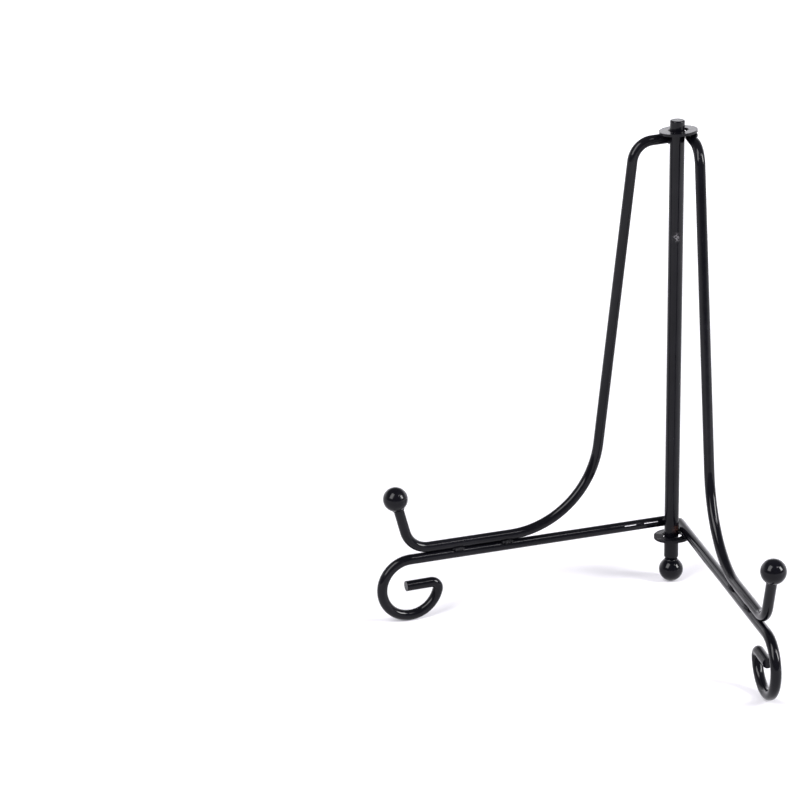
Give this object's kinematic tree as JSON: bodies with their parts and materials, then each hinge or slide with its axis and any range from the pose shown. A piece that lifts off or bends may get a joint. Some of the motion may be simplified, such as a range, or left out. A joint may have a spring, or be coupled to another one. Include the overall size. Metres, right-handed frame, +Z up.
{
  "type": "plate display stand",
  "caption": "Folding wire easel that holds a plate upright: scroll-footed, hooked wings on a round post that stands on a ball.",
  "frame": {"origin": "the point where the foot ball rests on the table, on the centre post's axis", "axes": "+Z up along the centre post; the fixed wing reaches along -X and the swinging wing, at rest, along -Y turned about 10 degrees towards -X; a plate leans on the side between them"},
  "size_m": [0.1422, 0.1442, 0.205],
  "materials": {
    "post_coat": "gloss",
    "wire_coat": "gloss",
    "ball_coat": "gloss",
    "washer_coat": "gloss",
    "weld_coat": "gloss"
  },
  "bodies": {
    "frame": {"centre_post": "post_coat", "foot_ball": "ball_coat", "foot_weld": "weld_coat", "fixed_upper_wire": "wire_coat", "fixed_lower_wire": "wire_coat", "fixed_hook_ball": "ball_coat", "fixed_hook_weld": "weld_coat", "fixed_seam_weld_inner": "weld_coat", "fixed_seam_weld_outer": "weld_coat", "post_weld_top": "weld_coat", "post_weld_foot": "weld_coat"},
    "swing_wing": {"swing_upper_wire": "wire_coat", "swing_lower_wire": "wire_coat", "swing_hook_ball": "ball_coat", "swing_hook_weld": "weld_coat", "swing_seam_weld_inner": "weld_coat", "swing_seam_weld_outer": "weld_coat", "top_washer": "washer_coat", "low_washer": "washer_coat", "washer_weld_top": "weld_coat", "washer_weld_low": "weld_coat"}
  },
  "joints": [
    {"name": "wing_swing", "type": "hinge", "parent": "frame", "child": "swing_wing", "pos_m": [0, 0, 0.1], "axis": [0, 0, 1], "range_deg": [-79.5, 29]}
  ]
}
